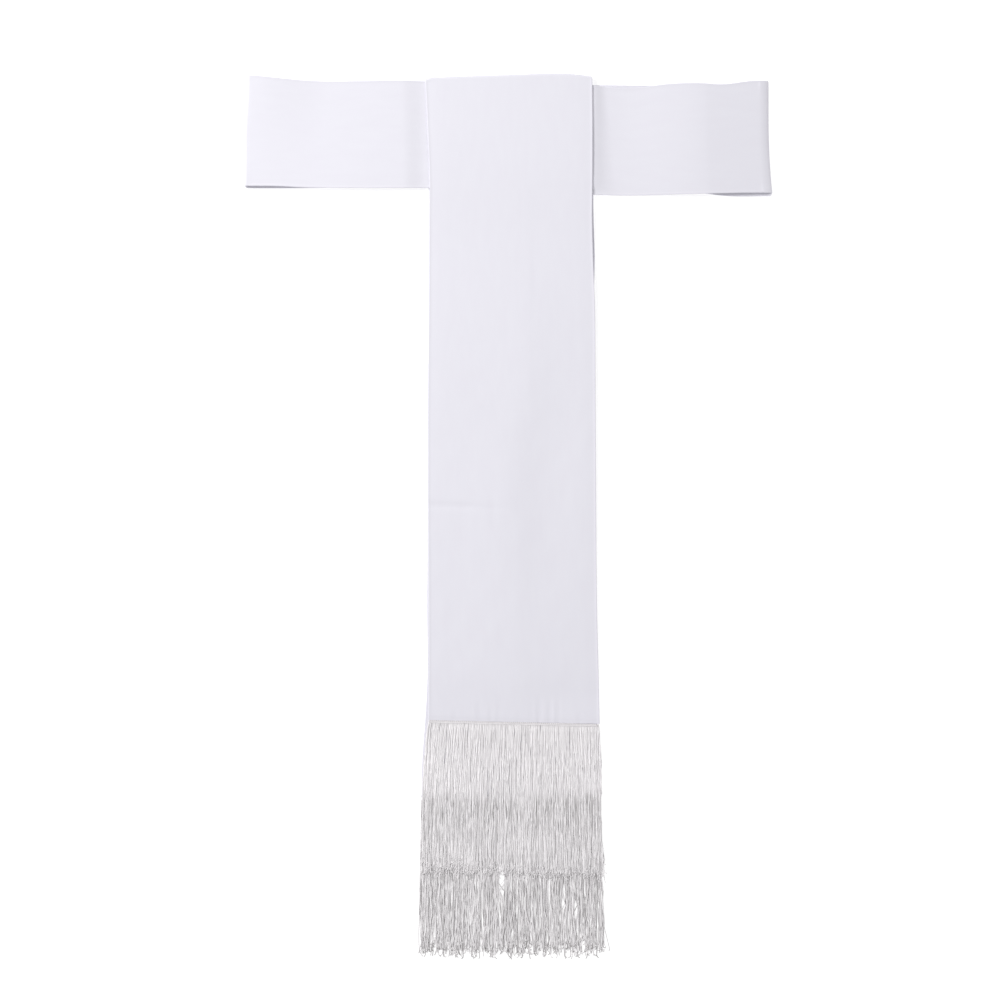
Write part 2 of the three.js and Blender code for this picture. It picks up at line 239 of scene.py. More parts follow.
# A closed shell round a strip's middle surface. Each point of the grid gets two, half the wall out along
# the normal (the way across times the way along) and half in. Half the wall falls to nothing at the two
# side edges: it is wall / 2 times the root of 1 - (1 - distance / round) squared. The ends thin in the
# same way and are capped. Where faceUp is 1, the outer points also get the pressed edges' step and dent.
def clothShell(name, middle, across, width, wall, faceUp, material):
    alongWay = np.gradient(middle, axis=0)
    acrossWay = np.gradient(middle, across, axis=1)
    normal = np.cross(acrossWay, alongWay)
    normal /= np.linalg.norm(normal, axis=2, keepdims=True)
    rows, columns = middle.shape[:2]
    side = np.minimum(across, 1 - across)[None, :] * width
    steps = np.linalg.norm(np.diff(middle[:, columns // 2], axis=0), axis=1)
    run = np.concatenate([[0], np.cumsum(steps)])
    end = np.minimum(run, run[-1] - run)[:, None] + turnedEdge["endCut"]
    reach = ((side, turnedEdge["round"]), (end, turnedEdge["endRound"]))
    sideRound, endRound = [np.sqrt(1 - (1 - np.clip(d / limit, 0, 1)) ** 2) for d, limit in reach]
    half = wall / 2 * sideRound * endRound
    step = softStep(side, *turnedEdge["allowance"]) * softStep(side, *turnedEdge["riseFrom"])
    dent = softStep(side, *turnedEdge["dentFrom"]) * softStep(side, *turnedEdge["dentTo"])
    rise = (turnedEdge["rise"] * step - turnedEdge["dent"] * dent) * faceUp[:, None]
    outer = middle + normal * (half + rise)[:, :, None]
    inner = middle - normal * half[:, :, None]
    rings = np.concatenate([outer, inner[:, -2:0:-1]], axis=1)
    size = rings.shape[1]
    first = (np.arange(rows - 1)[:, None] * size + np.arange(size)[None, :]).ravel()
    second = (np.arange(rows - 1)[:, None] * size + (np.arange(size) + 1)[None, :] % size).ravel()
    faces = np.stack([first, second, second + size, first + size], axis=1).tolist()
    for base, flip in ((0, 1), ((rows - 1) * size, -1)):
        bays = [[i, i + 1, size - i - 1, size - i] for i in range(1, columns - 2)]
        caps = [[0, 1, size - 1], *bays, [columns - 2, columns - 1, columns]]
        faces += [[base + k for k in cap[::-flip]] for cap in caps]
    alongPlace = np.repeat(run[:, None], size, axis=1)
    acrossPlace = np.concatenate([across, across[-2:0:-1]])[None, :] * width + 0 * alongPlace
    places = np.stack([acrossPlace.ravel(), alongPlace.ravel()], axis=1)
    return addPiece(name, rings.reshape(-1, 3), faces, material, places)


# Waist band

band = {
    "width": 101.6,
    "ends": {"outer": 54, "inner": -58},  # X of the strip's two ends
    "plateau": {"left": 6.9, "right": bandRestZ},  # height of the front layer between the falls and a roll
    "rollRadius": {"left": (3.3, 5.2), "right": (2.2, 2.8)},  # at the bottom edge and at the top edge
    "opensBy": 0.7,  # share of the width at which the right roll has its top edge's radius
    # Length of a roll's upper half, and its exponent: 2 is an ellipse, more is squarer, less is sharper
    "rollTop": {"left": (4.2, 6.0), "right": (9.0, 1.6)},
    # How far before a roll the front layer starts and stops to climb, and how far it then sinks again
    "climb": {"left": (70, 0), "right": (140, 50)},
    "droop": {"left": 0.0, "right": 2.0},
    # X of the foot and of the crest of the ramp up to the falls, at the bottom edge and the top edge
    "ramp": {"left": ((-99, -101), (-79, -79)), "right": ((102, 93.5), (79.5, 80.5))},
    # How much higher the crest stands than the stack beside it, where, and from which share of the width
    "swell": {"left": 0.0, "right": 1.5},
    "swellPlace": {"x": 79, "width": 10, "from": (0, 0.12)},
    "uneven": 0.12,
    "waves": [
        {"share": 1, "length": 90, "across": 60, "seed": 11},
        {"share": 0.5, "length": 34, "across": 100, "seed": 12},
    ],
}
bandGrid = {"across": 46, "front": 170, "roll": 26, "back": 90}  # places in each stretch of the strip
backEdges = [
    {"x": -250, "top": 50.2, "bottom": -50.6},
    {"x": -215, "top": 50.2, "bottom": -50.6},
    {"x": -185, "top": 50.0, "bottom": -50.3},
    {"x": -137, "top": 49.8, "bottom": -49.6},
    {"x": -80, "top": 49.5, "bottom": -49.2},
    {"x": 0, "top": 48.1, "bottom": -53.5},
    {"x": 110, "top": 47.4, "bottom": -54.2},
    {"x": 150, "top": 46.8, "bottom": -54.8},
    {"x": 183, "top": 45.2, "bottom": -55.2},
    {"x": 205, "top": 44.1, "bottom": -57.8},
    {"x": 250, "top": 43.8, "bottom": -58.2},
]
frontLeftEdges = [
    {"x": -250, "top": 55.6, "bottom": -49.1},
    {"x": -212, "top": 52.1, "bottom": -49.7},
    {"x": -193, "top": 50.6, "bottom": -50.7},
    {"x": -178, "top": 50.0, "bottom": -51.0},
    {"x": -137, "top": 50.2, "bottom": -51.2},
    {"x": -103, "top": 50.8, "bottom": -51.2},
    {"x": -79, "top": 50.5, "bottom": -51.0},
    {"x": 60, "top": 48.6, "bottom": -51.4},
]
frontRightEdges = [
    {"x": -60, "top": 47.2, "bottom": -54.4},
    {"x": 84, "top": 46.4, "bottom": -57.2},
    {"x": 106, "top": 44.4, "bottom": -57.7},
    {"x": 125, "top": 44.7, "bottom": -57.8},
    {"x": 146, "top": 47.1, "bottom": -57.4},
    {"x": 182, "top": 48.0, "bottom": -56.6},
    {"x": 201, "top": 47.0, "bottom": -56.1},
    {"x": 231, "top": 50.4, "bottom": -55.4},
    {"x": 250, "top": 51.3, "bottom": -55.3},
]
loopEnds = [
    {"v": 0, "left": -250.0, "right": 250.5},
    {"v": 0.17, "left": -249.4, "right": 248.9},
    {"v": 0.5, "left": -249.1, "right": 247.1},
    {"v": 0.65, "left": -248.3, "right": 246.9},
    {"v": 0.8, "left": -247.1, "right": 246.9},
    {"v": 1, "left": -246.6, "right": 246.9},
]


# The waist band's strip. It starts at its outer end under the front fall, runs left down a ramp and along
# a plateau, turns under in a roll, runs right along the table, turns back over and ends under its start.
def waistBand():
    v = acrossPlaces(band["width"], bandGrid["across"])[None, :]
    outward = {"left": -1, "right": 1}
    opening = {"left": v, "right": softStep(v, 0, band["opensBy"])}
    radius = {side: mix(*band["rollRadius"][side], opening[side]) for side in outward}
    reach = {side: curveAt(loopEnds, "v", side, v) for side in outward}
    endX = {side: reach[side] - outward[side] * bandBackZ for side in outward}
    startX = {side: endX[side] - outward[side] * band["rollTop"][side][0] for side in outward}
    tableX = {side: endX[side] - outward[side] * radius[side] for side in outward}

    # Y across the strip at X, mixed from the curves of its bottom edge and its top edge
    def edgeY(rows, x):
        return mix(curveAt(rows, "x", "bottom", x), curveAt(rows, "x", "top", x), v)

    # The front layer's height: its plateau, plus the ramp's share of the way to the crest, plus the
    # climb's share of the way to the roll's top, plus droop and unevenness
    def frontZ(side, x, stackZ):
        foot, crest = (mix(*line, v) for line in band["ramp"][side])
        ramp = softStep(x, foot, crest)
        before = outward[side] * (startX[side] - x)
        starts, stops = band["climb"][side]
        climb = softStep(before, starts, stops)
        topZ = bandBackZ + 2 * radius[side]
        plateau = band["plateau"][side]
        waves = 1
        for wave in band["waves"]:
            waves = waves + wave["share"] * softWaves(x, wave["across"] * v, wave["length"], wave["seed"])
        uneven = band["uneven"] * (1 - ramp) * (1 - climb) * waves
        droop = band["droop"][side] * climb * np.clip(before, 0, stops) / max(stops, 1)
        place = band["swellPlace"]
        swell = softStep(v, *place["from"]) * bell(x, outward[side] * place["x"], place["width"])
        crestZ = stackZ + band["swell"][side] * swell
        return plateau + (crestZ - plateau) * ramp + (topZ - plateau) * climb + droop + uneven

    # Points of one stretch of the front layer
    def run(x, rows, side, stackZ):
        return np.stack([x, edgeY(rows, x), frontZ(side, x, stackZ)], axis=2)

    # One end roll, t from 0 to 1 along the strip. The lower half is a quarter circle. The upper one is a
    # quarter of a superellipse: length times 1 - sine to the power p, and radius times cosine to the
    # power p, p = 2 / exponent. The side edges pass from the front layer's lines to the back layer's on
    # the way down.
    def roll(side, rows, t):
        angle = np.pi * t[:, None]
        high = -outward[side] * np.cos(angle)
        length, exponent = band["rollTop"][side]
        power = np.where(high > 0, 2 / exponent, 1)
        back = np.where(high > 0, length, radius[side]) * (1 - np.sin(angle) ** power)
        x = endX[side] - outward[side] * back
        z = bandBackZ + radius[side] * (1 + np.sign(high) * abs(high) ** power)
        under = softStep(high, 0.1, -1)
        level = startX[side] + 0 * angle
        return np.stack([x, mix(edgeY(rows, level), edgeY(backEdges, level), under), z], axis=2)

    t = np.linspace(0, 1, bandGrid["front"])[:, None]
    turn = np.linspace(0, 1, bandGrid["roll"])[1:-1]
    backX = mix(tableX["left"], tableX["right"], np.linspace(0, 1, bandGrid["back"])[:, None])
    backRun = np.stack([backX, edgeY(backEdges, backX), 0 * backX + bandBackZ], axis=2)
    outerX = mix(band["ends"]["outer"], startX["left"], t)
    innerX = mix(startX["right"], band["ends"]["inner"], t)
    parts = [
        run(outerX, frontLeftEdges, "left", bandOuterZ),
        roll("left", frontLeftEdges, turn),
        backRun,
        roll("right", frontRightEdges, turn),
        run(innerX, frontRightEdges, "right", bandInnerZ),
    ]
    faceUp = np.concatenate([np.full(len(part), shown) for part, shown in zip(parts, (1, 0, 0, 0, 1))])
    middle = np.concatenate(parts)
    return clothShell("band_cloth", middle, v[0], band["width"], walls["band"], faceUp, bandCloth)


# Falls

falls = {
    "width": 161,
    "hemWidth": 162,
    "frontLength": 610,
    "frontHem": (-555.2, -559.0),  # Y at the left and at the right
    "backHem": (-629.0, -627.5),
    "backRamp": (-82, -62),  # where the back fall comes up from the table to run between the band's layers
}
fallsGrid = {"across": 62, "front": 232, "fold": 18, "back": 150}  # places in each stretch of the strip
frontSides = [
    {"y": 55, "left": -78.8, "right": 79.6},
    {"y": 4, "left": -76.4, "right": 79.9},
    {"y": -51, "left": -74.6, "right": 79.7},
    {"y": -72, "left": -74.9, "right": 79.5},
    {"y": -110, "left": -75.1, "right": 80.2},
    {"y": -157, "left": -75.3, "right": 82.0},
    {"y": -252, "left": -76.1, "right": 82.8},
    {"y": -346, "left": -76.1, "right": 83.4},
    {"y": -441, "left": -75.6, "right": 84.1},
    {"y": -535, "left": -75.6, "right": 86.3},
    {"y": -557, "left": -75.8, "right": 86.8},
]
backSides = [
    {"y": 55, "left": -79.0, "right": 79.0},
    {"y": -52, "left": -75.5, "right": 80.7},
    {"y": -72, "left": -75.6, "right": 81.0},
    {"y": -118, "left": -75.7, "right": 82.2},
    {"y": -157, "left": -75.8, "right": 81.4},
    {"y": -252, "left": -76.7, "right": 81.8},
    {"y": -441, "left": -77.2, "right": 82.8},
    {"y": -536, "left": -77.8, "right": 84.3},
    {"y": -562, "left": -79.6, "right": 84.8},
    {"y": -595, "left": -81.9, "right": 85.2},
    {"y": -628, "left": -82.6, "right": 85.7},
]
foldLine = [
    {"x": -79, "y": 49.6},
    {"x": -74, "y": 51.0},
    {"x": -63, "y": 51.5},
    {"x": -8, "y": 53.4},
    {"x": 17, "y": 54.3},
    {"x": 62, "y": 54.3},
    {"x": 79, "y": 52.2},
]
# How far the front fall, left of its crease, stands above where it would lie flat on the back one
frontLift = [
    {"y": 55, "lift": 4.8},
    {"y": -50, "lift": 4.8},
    {"y": -72, "lift": 3.95},
    {"y": -95, "lift": 3.25},
    {"y": -118, "lift": 3.15},
    {"y": -160, "lift": 3.5},
    {"y": -210, "lift": 3.55},
    {"y": -300, "lift": 3.2},
    {"y": -400, "lift": 2.9},
    {"y": -480, "lift": 2.75},
    {"y": -515, "lift": 2.4},
    {"y": -535, "lift": 1.5},
    {"y": -560, "lift": 0.1},
]
# The long crease of the front fall. Pairs other than x are the Y between which something comes or goes.
crease = {
    "x": (12.2, 22.2),  # low down and at the top
    "wander": (-290, -235),
    "comesIn": (-80, -300),
    "depth": 2.25,  # how far the cloth sinks to the right of it
    "fade": 26,  # how far away two thirds of that are reached
    "soft": 3.6,  # how wide the bend is
    "flattens": (-528, -560),
    "flatter": 0.7,
    "step": {"depth": 0.17, "width": 1.7, "starts": (-44, -52), "fades": (-225, -262)},
}
# A short crease across the fall's left half, the swelling above it and a dent at its end
crossCrease = {
    "y": -354.5,
    "slope": 0.04,
    "width": 2.8,
    "depth": 0.6,
    "weakens": (-42, -26),
    "weak": 0.35,
    "ends": (2, -12),
    "swelling": {"height": 0.3, "low": (-360, -344), "high": (-250, -330), "right": (20, -5)},
    "dent": {"depth": 0.18, "x": -14, "wide": 3, "y": -356, "tall": 16},
}
# The front fall's slight waves, longer down the fall than across it
frontWaves = {
    "downShare": 0.6,
    "broad": {"height": 0.36, "length": 62, "seed": 21},
    "fine": {"height": 0.06, "length": 26, "seed": 22},
    "aboveHem": (0, 45),
}
# What the seam does to the cloth over the front hem, each between two heights above it
hemRelief = {
    "press": 0.4,
    "pressFades": (4.8, 0.3),
    "gathers": 0.05,
    "gathersFade": (12, 2),
    "gatherPitch": 8.3,
    "gatherDrift": {"amount": 1.4, "length": 17},
    "fineGathers": {"share": 0.6, "pitch": 4.9},
    "puckerFades": (1.6, 0.5),  # in shares of a pucker's height
    "puckerApart": 0.8,  # from a pucker's middle to its ridge and to its dent, in shares of its width
}
# Short puckers that rise from the front hem: X, height up the fall, width and depth
puckers = [
    {"x": -52, "tall": 10, "wide": 1.6, "deep": 0.24},
    {"x": -29.6, "tall": 18, "wide": 1.5, "deep": 0.26},
    {"x": -18, "tall": 15, "wide": 1.6, "deep": 0.34},
    {"x": -11, "tall": 18, "wide": 1.5, "deep": 0.4},
    {"x": 8, "tall": 9, "wide": 1.7, "deep": 0.2},
    {"x": 19.8, "tall": 16, "wide": 1.4, "deep": 0.24},
    {"x": 27, "tall": 20, "wide": 1.5, "deep": 0.5},
    {"x": 37.2, "tall": 19, "wide": 1.5, "deep": 0.5},
    {"x": 45, "tall": 19, "wide": 1.5, "deep": 0.46},
    {"x": 66, "tall": 10, "wide": 1.8, "deep": 0.24},
]


# Height added to the front fall. Right of its crease the cloth sinks, by depth times 1 - e to the
# (-distance / fade), where distance is soft times log(1 + e to the (x / soft)), and a slight step follows
# the crease's upper part. A short cross crease, puckers over the hem, each a ridge beside a dent, and
# broad waves are added to that.
def frontRelief(x, y, left):
    distance = x - mix(*crease["x"], softStep(y, *crease["wander"]))
    inRange = np.clip(distance / crease["soft"], -30, 30)
    past = crease["soft"] * np.log1p(np.exp(inRange))
    full = softStep(y, *crease["comesIn"])
    depth = crease["depth"] * full * (1 - crease["flatter"] * softStep(y, *crease["flattens"]))
    height = depth * (np.exp(-past / crease["fade"]) - 1)
    step = crease["step"]
    shown = softStep(y, *step["starts"]) - softStep(y, *step["fades"])
    height = height - step["depth"] * softStep(distance, -step["width"], step["width"]) * shown

    cross = crossCrease
    mask = mix(1, cross["weak"] * softStep(x, *cross["ends"]), softStep(x, *cross["weakens"]))
    height = height - cross["depth"] * bell(y + cross["slope"] * x, cross["y"], cross["width"]) * mask
    swelling = cross["swelling"]
    above = softStep(y, *swelling["low"]) * softStep(y, *swelling["high"]) * softStep(x, *swelling["right"])
    dent = cross["dent"]
    dented = bell(x, dent["x"], dent["wide"]) * bell(y, dent["y"], dent["tall"])
    height = height + swelling["height"] * above - dent["depth"] * dented

    overHem = y - mix(*falls["frontHem"], (x - left) / falls["hemWidth"])
    starts, stops = hemRelief["puckerFades"]
    for pucker in puckers:
        fades = softStep(overHem, starts * pucker["tall"], stops * pucker["tall"])
        apart = hemRelief["puckerApart"] * pucker["wide"]
        ridge = bell(x, pucker["x"] - apart, pucker["wide"]) - bell(x, pucker["x"] + apart, pucker["wide"])
        height = height + pucker["deep"] * fades * ridge
    height = height - hemRelief["press"] * softStep(overHem, *hemRelief["pressFades"])
    drift, fine = hemRelief["gatherDrift"], hemRelief["fineGathers"]
    drifted = 2 * np.pi * x / hemRelief["gatherPitch"] + drift["amount"] * np.sin(x / drift["length"])
    gathers = np.sin(drifted) + fine["share"] * np.sin(2 * np.pi * x / fine["pitch"])
    height = height + hemRelief["gathers"] * gathers * softStep(overHem, *hemRelief["gathersFade"])

    down = frontWaves["downShare"] * y
    waves = frontWaves["broad"]["height"]
    for wave in (frontWaves["broad"], frontWaves["fine"]):
        waves = waves + wave["height"] * softWaves(x, down, wave["length"], wave["seed"])
    height = height + waves * full * softStep(overHem, *frontWaves["aboveHem"])
    return height


# The falls' strip. It starts at the front hem, comes up over the band, folds over its top edge in a half
# circle, sine and cosine times the radius, and runs down between the band's layers to the back hem.
def fallsCut():
    v = acrossPlaces(falls["width"], fallsGrid["across"])[None, :]
    foldRadius = (fallOverZ - fallUnderZ) / 2
    foldY = curveAt(foldLine, "x", "y", mix(foldLine[0]["x"], foldLine[-1]["x"], v))

    # X across the strip at Y, mixed from the curves of its left and right edges
    def sideX(rows, y):
        return mix(curveAt(rows, "y", "left", y), curveAt(rows, "y", "right", y), v)

    nearHem = np.concatenate([[0, 0.25, 0.6], np.arange(1, 26, 1.0)]) / falls["frontLength"]
    t = np.concatenate([nearHem, np.linspace(nearHem[-1], 1, fallsGrid["front"])[1:]])[:, None]
    frontY = mix(mix(*falls["frontHem"], v), foldY, t)
    frontX = sideX(frontSides, frontY)
    left = curveAt(frontSides, "y", "left", frontY)
    frontZ = fallFrontZ + curveAt(frontLift, "y", "lift", frontY) + frontRelief(frontX, frontY, left)
    t = np.linspace(0, 1, fallsGrid["fold"])[1:-1, None]
    foldX = mix(sideX(frontSides, foldY), sideX(backSides, foldY), t)
    foldedY = foldY + foldRadius * np.sin(np.pi * t)
    foldZ = fallOverZ - foldRadius * (1 - np.cos(np.pi * t))
    t = np.linspace(0, 1, fallsGrid["back"])[:, None]
    backY = mix(foldY, mix(*falls["backHem"], v), t)
    backX = sideX(backSides, backY)
    backZ = mix(fallBackZ, fallUnderZ, softStep(backY, *falls["backRamp"]))
    parts = [
        np.stack([frontX, frontY, frontZ], axis=2),
        np.stack([foldX, foldedY, foldZ + 0 * foldX], axis=2),
        np.stack([backX, backY, backZ], axis=2),
    ]
    faceUp = np.concatenate([np.full(len(part), shown) for part, shown in zip(parts, (1, 0, 0))])
    middle = np.concatenate(parts)
    return clothShell("falls_cloth", middle, v[0], falls["width"], walls["falls"], faceUp, fallsCloth)


# Fringe

yarnLook = {
    # light and dark are the ends of the yarn's tone; random tone and painted shade move each point towards
    # dark
    "light": "#fbf8fa",
    "dark": "#8f8c8b",
    "surface": {"Roughness": 0.45, "Specular IOR Level": 0.35, "Sheen Weight": 0.25, "Sheen Roughness": 0.4},
    "plyPitch": 6.4,  # length of strand in which one ply crosses over the other
    "plyDepth": 0.1,
}


# Spun rayon, two plies twisted: a silky off-white yarn. Each point's tone, read from an attribute, is its
# random tone plus painted shade, greyer where a strand lies deep in the fringe. A wave texture has a
# slanted band in every 2 pi / 10 of its place, so its scale is that over the pitch.
def rayonYarn(name, look):
    material, tree, shader = startMaterial(name, look["surface"])
    place = addNode(tree, "ShaderNodeUVMap", uv_map="surfacePlace").outputs["UV"]
    naming = {"attribute_name": "yarnToneAndPaintedShade", "attribute_type": "GEOMETRY"}
    toneAndShadeOf = addNode(tree, "ShaderNodeAttribute", **naming)
    tint = addNode(
        tree,
        "ShaderNodeMix",
        {"Factor": toneAndShadeOf.outputs["Fac"], "A": colour(look["dark"]), "B": colour(look["light"])},
        data_type="RGBA",
    )
    plyScale = 2 * np.pi / 10 / (look["plyPitch"] * metres)
    plies = addNode(
        tree,
        "ShaderNodeTexWave",
        {"Vector": place, "Scale": plyScale, "Distortion": 1.0},
        wave_type="BANDS",
        bands_direction="DIAGONAL",
    )
    bump = addNode(
        tree,
        "ShaderNodeBump",
        {"Height": plies.outputs["Fac"], "Distance": look["plyDepth"] * metres, "Strength": 0.3},
    )
    tree.links.new(tint.outputs["Result"], shader.inputs["Base Color"])
    tree.links.new(bump.outputs["Normal"], shader.inputs["Normal"])
    return material


yarn = rayonYarn("off-white rayon yarn", yarnLook)

# What the strands of both fringes share
strandLook = {
    "sides": 4,
    "bends": 20,  # places along a strand, and then along its hook
    "hookBends": 5,
    "hook": 3.7,  # length of the hook
    "hookTurn": 1.5,  # how much a hook turns, in radians, and the least that it turns
    "leastTurn": 0.2,
    "hookLean": 0.6,  # share of the strand's slant that its hook keeps
    "hookRise": 0.8,
    "headerShown": 3.0,
    "rootScatter": 0.35,  # in shares of the distance between strands
    "tipScatter": 0.6,
    "furthestTip": 8,  # most that a strand is longer or shorter than the mean
    "straightRoot": 1 / 6,  # share of a strand in which its bends come in
    "bend": 0.26,  # chance bends at each place, then long waves, short waves and a stray of the tip
    "sway": {"amount": 0.55, "turns": (0.6, 1.6)},
    "ripple": {"amount": 0.2, "turns": (2.5, 5)},
    "riseTurns": (1, 3),
    "stray": 1.2,
    "fanFrom": 0.76,  # share of a strand from which its end fans out, and the power that it grows with
    "fanPower": 1.5,
    "waverLength": 7.5,  # across, and it is this many times longer down
    "waverStretch": 3,
    "gapReach": 5,  # how far from a gap strands still feel its push
    "comesUp": 0.06,  # share of a strand in which it reaches its layer
    "lowest": 0.4,
    "tipWidth": 0.75,
    # The fade is painted shade, drawn where the back fall no longer lies under the front fringe
    "tipShades": (0, 2),  # least and most that a strand takes of the fringe's tip shade, and of its fade
    "fadeShares": (0.1, 1.9),
    "fadeScatter": 3,
    "fadePatchy": 0.8,
}
# Where strands lean together: share, bunches in the fringe's width and phase
bunchWaves = [
    {"share": 1, "number": 11, "phase": 1.1},
    {"share": 0.8, "number": 19, "phase": 4.0},
    {"share": 0.7, "number": 31, "phase": 2.6},
]
fringeFront = {
    "hem": ((-75.6, -555.2), (85.6, -559.0)),
    "tips": ((-81.4, -697.5), (88.0, -702.0)),
    "headerZ": fallFrontZ,
    # Each layer's height and how light it is drawn: lower layers are painted darker, as shade deep in the
    # fringe
    "layers": ((1.7, 0.93), (1.86, 0.935), (2.02, 0.94), (2.18, 0.95), (2.34, 0.965), (2.5, 0.98)),
    "strands": 120,
    "radius": 0.58,
    "flat": 0.38,  # height of a strand over its width
    "rise": 0.05,  # how much its height varies
    "bunches": 0.6,
    "scatter": 3.5,  # how much the lengths of strands differ
    "waver": 0.32,  # how far neighbours bend together
    "fan": 1.3,  # how far the ends fan out
    "spread": 0.6,  # below 1 the fringe widens sooner
    "tipShade": 0.04,  # how much darker the hooks are
    "patchy": 0.02,
    "seed": 40,
    # Strands move apart by wide, or together where it is negative, over the height tall
    "gaps": [
        {"x": -22.1, "y": -648, "wide": 0.8, "tall": 5},
        {"x": -6.4, "y": -701, "wide": 1.5, "tall": 5},
    ],
    # Painted shade: how much darker the strands are drawn where the back fall no longer lies under them, as
    # shade from the deep fringe below
    "fade": [
        {"y": -555, "drop": 0.03},
        {"y": -580, "drop": 0.0},
        {"y": -625, "drop": 0.0},
        {"y": -631, "drop": 0.13},
        {"y": -645, "drop": 0.13},
        {"y": -662, "drop": 0.08},
        {"y": -700, "drop": 0.08},
    ],
}
fringeBack = {
    "hem": ((-82.3, -629.0), (85.2, -627.5)),
    "tips": ((-83.6, -775.2), (90.0, -774.2)),
    "headerZ": fallBackZ,
    # Each layer's height and how light it is drawn: lower layers are painted darker, as shade deep in the
    # fringe
    "layers": ((0.5, 0.46), (0.8, 0.59), (1.1, 0.73), (1.45, 0.86)),
    "strands": 118,
    "radius": 0.54,
    "flat": 0.6,
    "rise": 0.12,
    "bunches": 0.55,
    "scatter": 4.2,
    "waver": 0.75,
    "fan": 2.4,
    "spread": 1,
    "tipShade": 0.26,
    "patchy": 0.08,
    "seed": 50,
    "gaps": [
        {"x": -6.4, "y": -708, "wide": 2.6, "tall": 16},
        {"x": -24.4, "y": -750, "wide": -1.2, "tall": 9},
        {"x": 52, "y": -731, "wide": 1.6, "tall": 5},
        {"x": 64, "y": -734, "wide": 1.8, "tall": 6},
        {"x": 71, "y": -767, "wide": 1.7, "tall": 7},
    ],
}


# Sines along the strands at their shares s, each strand with a number of turns between two limits and a
# phase of its own, both by chance
def strandSines(chance, count, turns, s):
    return np.sin(2 * np.pi * (chance.uniform(*turns, (count, 1)) * s + chance.random((count, 1))))


# Middle lines of one layer of strands, as an array of strand by place by XYZ. A strand runs from its root
# at s = 0 to its tip at s = 1. Across, it follows the sine of a quarter turn times s, to the power
# spread, from one to the other. To that are added bends by chance, sines, a lean to its bunch by s
# squared, a stray by s cubed, a fanned end, a waver shared with its neighbours and the push of each gap.
# It ends in a hook, an arc: the hook's length times (1 - cos a) / turn across and sin a / turn down.
def strandPaths(spec, layerZ, seed):
    look = strandLook
    chance = np.random.default_rng(seed)
    count, bends, hookBends = spec["strands"], look["bends"], look["hookBends"]
    v = np.arange(count) + chance.uniform(-look["rootScatter"], look["rootScatter"], count)
    v = np.clip(v / (count - 1), 0, 1)[:, None]
    (leftX, leftY), (rightX, rightY) = spec["hem"]
    (tipLeftX, tipLeftY), (tipRightX, tipRightY) = spec["tips"]
    rootY = mix(leftY, rightY, v) - walls["gap"] - look["headerShown"] / 2
    shorter = chance.normal(0, spec["scatter"], (count, 1)).clip(-look["furthestTip"], look["furthestTip"])
    run = rootY - mix(tipLeftY, tipRightY, v) - shorter - look["hook"]
    s = np.concatenate([np.linspace(0, 1, bends), np.ones(hookBends)])[None, :]
    hook = np.concatenate([np.zeros(bends), np.linspace(0, 1, hookBends + 1)[1:]])[None, :]
    y = rootY - run * s

    tipX = mix(tipLeftX, tipRightX, v) + chance.normal(0, look["tipScatter"], (count, 1))
    x = mix(mix(leftX, rightX, v), tipX, np.sin(s * np.pi / 2) ** spec["spread"])
    loose = np.minimum(s / look["straightRoot"], 1)
    bent = chance.normal(0, 1, (count, bends))
    bent = np.concatenate([bent, np.repeat(bent[:, -1:], hookBends, axis=1)], axis=1)
    sway, ripple = look["sway"], look["ripple"]
    x = x + loose * (look["bend"] * bent + sway["amount"] * strandSines(chance, count, sway["turns"], s))
    for wave in bunchWaves:
        phase = 2 * np.pi * wave["number"] * v + wave["phase"] + spec["seed"]
        x = x + spec["bunches"] * wave["share"] * s**2 * np.sin(phase)
    x = x + s**3 * chance.normal(0, look["stray"], (count, 1))
    fanned = ((s - look["fanFrom"]) / (1 - look["fanFrom"])).clip(0, 1) ** look["fanPower"]
    x = x + spec["fan"] * fanned * chance.normal(0, 1, (count, 1))
    x = x + loose * spec["waver"] * softWaves(x, y / look["waverStretch"], look["waverLength"], seed)
    x = x + loose * ripple["amount"] * strandSines(chance, count, ripple["turns"], s)
    for gap in spec["gaps"]:
        away = x - gap["x"]
        push = np.sign(away) * gap["wide"] * np.exp(-abs(away) / look["gapReach"])
        x = x + push * bell(y, gap["y"], gap["tall"])

    turn = chance.normal(0, look["hookTurn"], (count, 1))
    turn = np.where(abs(turn) < look["leastTurn"], look["leastTurn"], turn)
    slant = (x[:, [bends - 1]] - x[:, [bends - 3]]) / (2 * run / bends)
    x = x + look["hook"] * ((1 - np.cos(turn * hook)) / turn + look["hookLean"] * slant * hook)
    y = y - look["hook"] * np.sin(turn * hook) / turn

    z = mix(spec["headerZ"], layerZ, softStep(s, 0, look["comesUp"]))
    z = z + loose * spec["rise"] * chance.normal(0, 1, (count, s.shape[1]))
    z = z + loose * spec["rise"] * strandSines(chance, count, look["riseTurns"], s)
    z = z + chance.uniform(0, look["hookRise"], (count, 1)) * hook**2
    return np.stack([x, y, np.maximum(z, look["lowest"])], axis=2)


# Faces of closed tubes, each a run of rings with the same number of points, with a face over both ends
def tubeFaces(count, rings, sides):
    base = (np.arange(count)[:, None, None] * rings + np.arange(rings - 1)[None, :, None]) * sides
    here = base + np.arange(sides)
    there = base + (np.arange(sides) + 1) % sides
    around = np.stack([here, here + sides, there + sides, there], axis=3).reshape(-1, 4)
    root = (np.arange(count) * rings * sides)[:, None]
    tip = root + (rings - 1) * sides
    return around.tolist() + (root + np.arange(sides)).tolist() + (tip + np.arange(sides)[::-1]).tolist()


